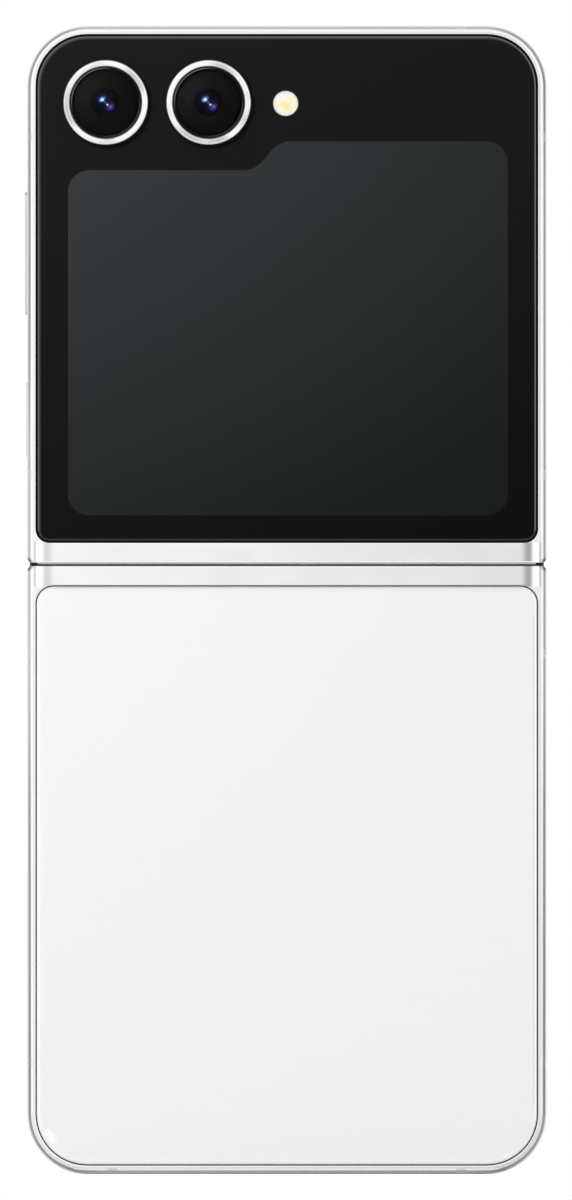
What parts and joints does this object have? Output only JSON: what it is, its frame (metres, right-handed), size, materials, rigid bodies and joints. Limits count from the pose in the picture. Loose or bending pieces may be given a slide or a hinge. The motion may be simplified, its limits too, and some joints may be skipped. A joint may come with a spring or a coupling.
{
  "type": "flip phone",
  "caption": "Flip phone, open: white glass back, black cover glass with cover screen and ringed cameras, and a geared hinge that folds the display inwards.",
  "frame": {"origin": "middle of the bottom edge, halfway through the frame, with the phone open and standing on that edge", "axes": "+Z along the phone towards its top edge, +Y out of the folding display, -Y out of the cover glass and back glass, +X to the right when the outer side is seen"},
  "size_m": [0.0722, 0.0085, 0.159],
  "materials": {
    "frame_metal": "polished anodised",
    "key_metal": "polished anodised",
    "spine_metal": "satin anodised",
    "band_plastic": "moulded",
    "white_glass": "glossy",
    "black_glass": "glossy",
    "window_glass": "coated",
    "cover_screen": "glossy, switched off",
    "fold_screen": "glossy film",
    "bezel_rubber": "satin",
    "cap_plastic": "moulded",
    "hinge_steel": "stamped",
    "screw_steel": "zinc plated",
    "ring_metal": "turned and polished",
    "camera_black": "matte black",
    "flash_plastic": "diffusing",
    "cell_pouch": "laminated pouch",
    "coil_copper": "wound copper",
    "board_resin": "solder mask",
    "can_steel": "stamped",
    "module_plastic": "moulded",
    "port_steel": "drawn",
    "tray_metal": "anodised"
  },
  "bodies": {
    "lower_half": {"lower_frame": "frame_metal", "lower_antenna_bands": "band_plastic", "lower_back_glass": "white_glass", "lower_display_panel": "fold_screen", "lower_bezel": "bezel_rubber", "lower_support_wing": "hinge_steel", "lower_hinge_brackets": "hinge_steel", "lower_bracket_screws": "screw_steel", "sub_board_screws": "screw_steel", "main_battery": "cell_pouch", "charging_coil": "coil_copper", "sub_board": "board_resin", "usb_c_port": "port_steel", "loudspeaker": "module_plastic", "vibration_motor": "can_steel"},
    "spine": {"spine_cover": "spine_metal", "spine_end_caps": "cap_plastic", "hinge_housings": "hinge_steel", "housing_screws": "screw_steel", "fold_display_strip": "fold_screen"},
    "upper_half": {"upper_frame": "frame_metal", "upper_antenna_bands": "band_plastic", "cover_glass": "black_glass", "cover_display": "cover_screen", "upper_display_panel": "fold_screen", "upper_bezel": "bezel_rubber", "upper_support_wing": "hinge_steel", "upper_hinge_brackets": "hinge_steel", "upper_bracket_screws": "screw_steel", "camera_rings": "ring_metal", "camera_windows": "window_glass", "camera_modules": "camera_black", "flash_lens": "flash_plastic", "flash_module": "module_plastic", "upper_battery": "cell_pouch", "main_board": "board_resin", "main_board_screws": "screw_steel", "shield_cans": "can_steel", "selfie_camera": "camera_black", "earpiece": "module_plastic", "key_switches": "module_plastic", "tray_reader": "can_steel"},
    "volume_key": {"volume_key": "key_metal"},
    "side_key": {"side_key": "key_metal"},
    "sim_tray": {"sim_tray": "tray_metal"},
    "pinion_1": {"sync_pinion_1": "hinge_steel"},
    "pinion_2": {"sync_pinion_2": "hinge_steel"},
    "pinion_3": {"sync_pinion_3": "hinge_steel"},
    "pinion_4": {"sync_pinion_4": "hinge_steel"}
  },
  "joints": [
    {"name": "spine_fold", "type": "hinge", "parent": "lower_half", "child": "spine", "pos_m": [0, 0.0019, 0.08232], "axis": [-1, 0, 0], "range_deg": [0, 90], "deforming": ["fold_display_strip"]},
    {"name": "upper_fold", "type": "hinge", "parent": "spine", "child": "upper_half", "pos_m": [0, 0.0019, 0.08652], "axis": [-1, 0, 0], "range_deg": [0, 90]},
    {"name": "pinion_1_spin", "type": "hinge", "parent": "spine", "child": "pinion_1", "pos_m": [0, -0.00062, 0.08232], "axis": [-1, 0, 0], "range_deg": [0, 234]},
    {"name": "pinion_2_spin", "type": "hinge", "parent": "spine", "child": "pinion_2", "pos_m": [0, -0.00062, 0.08372], "axis": [1, 0, 0], "range_deg": [0, 234]},
    {"name": "pinion_3_spin", "type": "hinge", "parent": "spine", "child": "pinion_3", "pos_m": [0, -0.00062, 0.08512], "axis": [-1, 0, 0], "range_deg": [0, 234]},
    {"name": "pinion_4_spin", "type": "hinge", "parent": "spine", "child": "pinion_4", "pos_m": [0, -0.00062, 0.08652], "axis": [1, 0, 0], "range_deg": [0, 234]},
    {"name": "volume_rock", "type": "hinge", "parent": "upper_half", "child": "volume_key", "pos_m": [-0.0338, -0.0002, 0.12747], "axis": [0, 1, 0], "range_deg": [-1.2, 1.2], "stiffness_Nm_per_rad": 0.8},
    {"name": "side_key_press", "type": "slide", "parent": "upper_half", "child": "side_key", "axis": [1, 0, 0], "range_m": [0, 0.00025], "stiffness_N_per_m": 6000},
    {"name": "tray_slide", "type": "slide", "parent": "upper_half", "child": "sim_tray", "axis": [1, 0, 0], "range_m": [0, 0.016]}
  ],
  "couplings": [
    {"joint": "upper_fold", "follows": "spine_fold", "ratio": 1},
    {"joint": "pinion_1_spin", "follows": "spine_fold", "ratio": 2.6},
    {"joint": "pinion_2_spin", "follows": "spine_fold", "ratio": 2.6},
    {"joint": "pinion_3_spin", "follows": "spine_fold", "ratio": 2.6},
    {"joint": "pinion_4_spin", "follows": "spine_fold", "ratio": 2.6}
  ]
}
